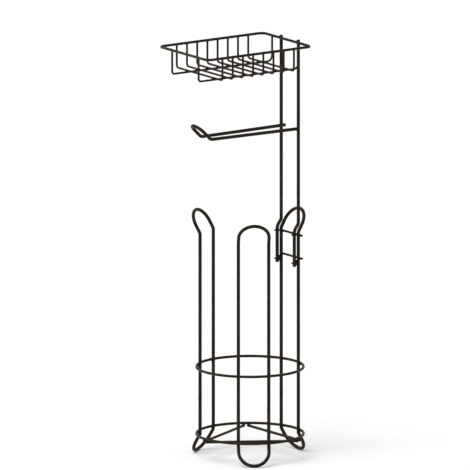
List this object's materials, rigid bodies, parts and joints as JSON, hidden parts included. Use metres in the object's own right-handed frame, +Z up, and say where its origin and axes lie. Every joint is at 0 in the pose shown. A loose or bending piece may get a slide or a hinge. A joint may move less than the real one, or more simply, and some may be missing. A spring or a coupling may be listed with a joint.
{
  "type": "toilet roll storage holder",
  "caption": "Free-standing wire holder: a round cage on splayed feet stores rolls, and a lift-out stand carries a hanging arm and a wire shelf.",
  "frame": {"origin": "on the common axis of the two rings, at the level of the floor that the feet stand on", "axes": "+Z up, +X from the rings' axis to the poles, so the arm and the shelf reach towards -X; the XZ plane is the plane of symmetry"},
  "size_m": [0.1995, 0.1588, 0.586],
  "materials": {
    "coated_wire": "satin dark bronze powder coat on steel wire"
  },
  "bodies": {
    "cage": {"back_leg_loop": "coated_wire", "left_leg_loop": "coated_wire", "right_leg_loop": "coated_wire", "lower_ring": "coated_wire", "middle_ring": "coated_wire", "floor_bar_back": "coated_wire", "floor_bar_left": "coated_wire", "floor_bar_right": "coated_wire", "upper_tie_bar": "coated_wire", "lower_tie_bar": "coated_wire", "upper_left_eyelet": "coated_wire", "upper_right_eyelet": "coated_wire", "lower_left_eyelet": "coated_wire", "lower_right_eyelet": "coated_wire"},
    "stand": {"left_pole": "coated_wire", "right_pole": "coated_wire", "hanger_arm": "coated_wire", "shelf_rim": "coated_wire", "shelf_long_wire_left": "coated_wire", "shelf_long_wire_right": "coated_wire", "shelf_cross_wire_1": "coated_wire", "shelf_cross_wire_2": "coated_wire", "shelf_cross_wire_3": "coated_wire", "shelf_cross_wire_4": "coated_wire", "shelf_cross_wire_5": "coated_wire", "shelf_cross_wire_6": "coated_wire", "shelf_cross_wire_7": "coated_wire", "shelf_cross_wire_8": "coated_wire"}
  },
  "joints": [
    {"name": "stand_lift", "type": "slide", "parent": "cage", "child": "stand", "axis": [0, 0, 1], "range_m": [0, 0.05]}
  ]
}
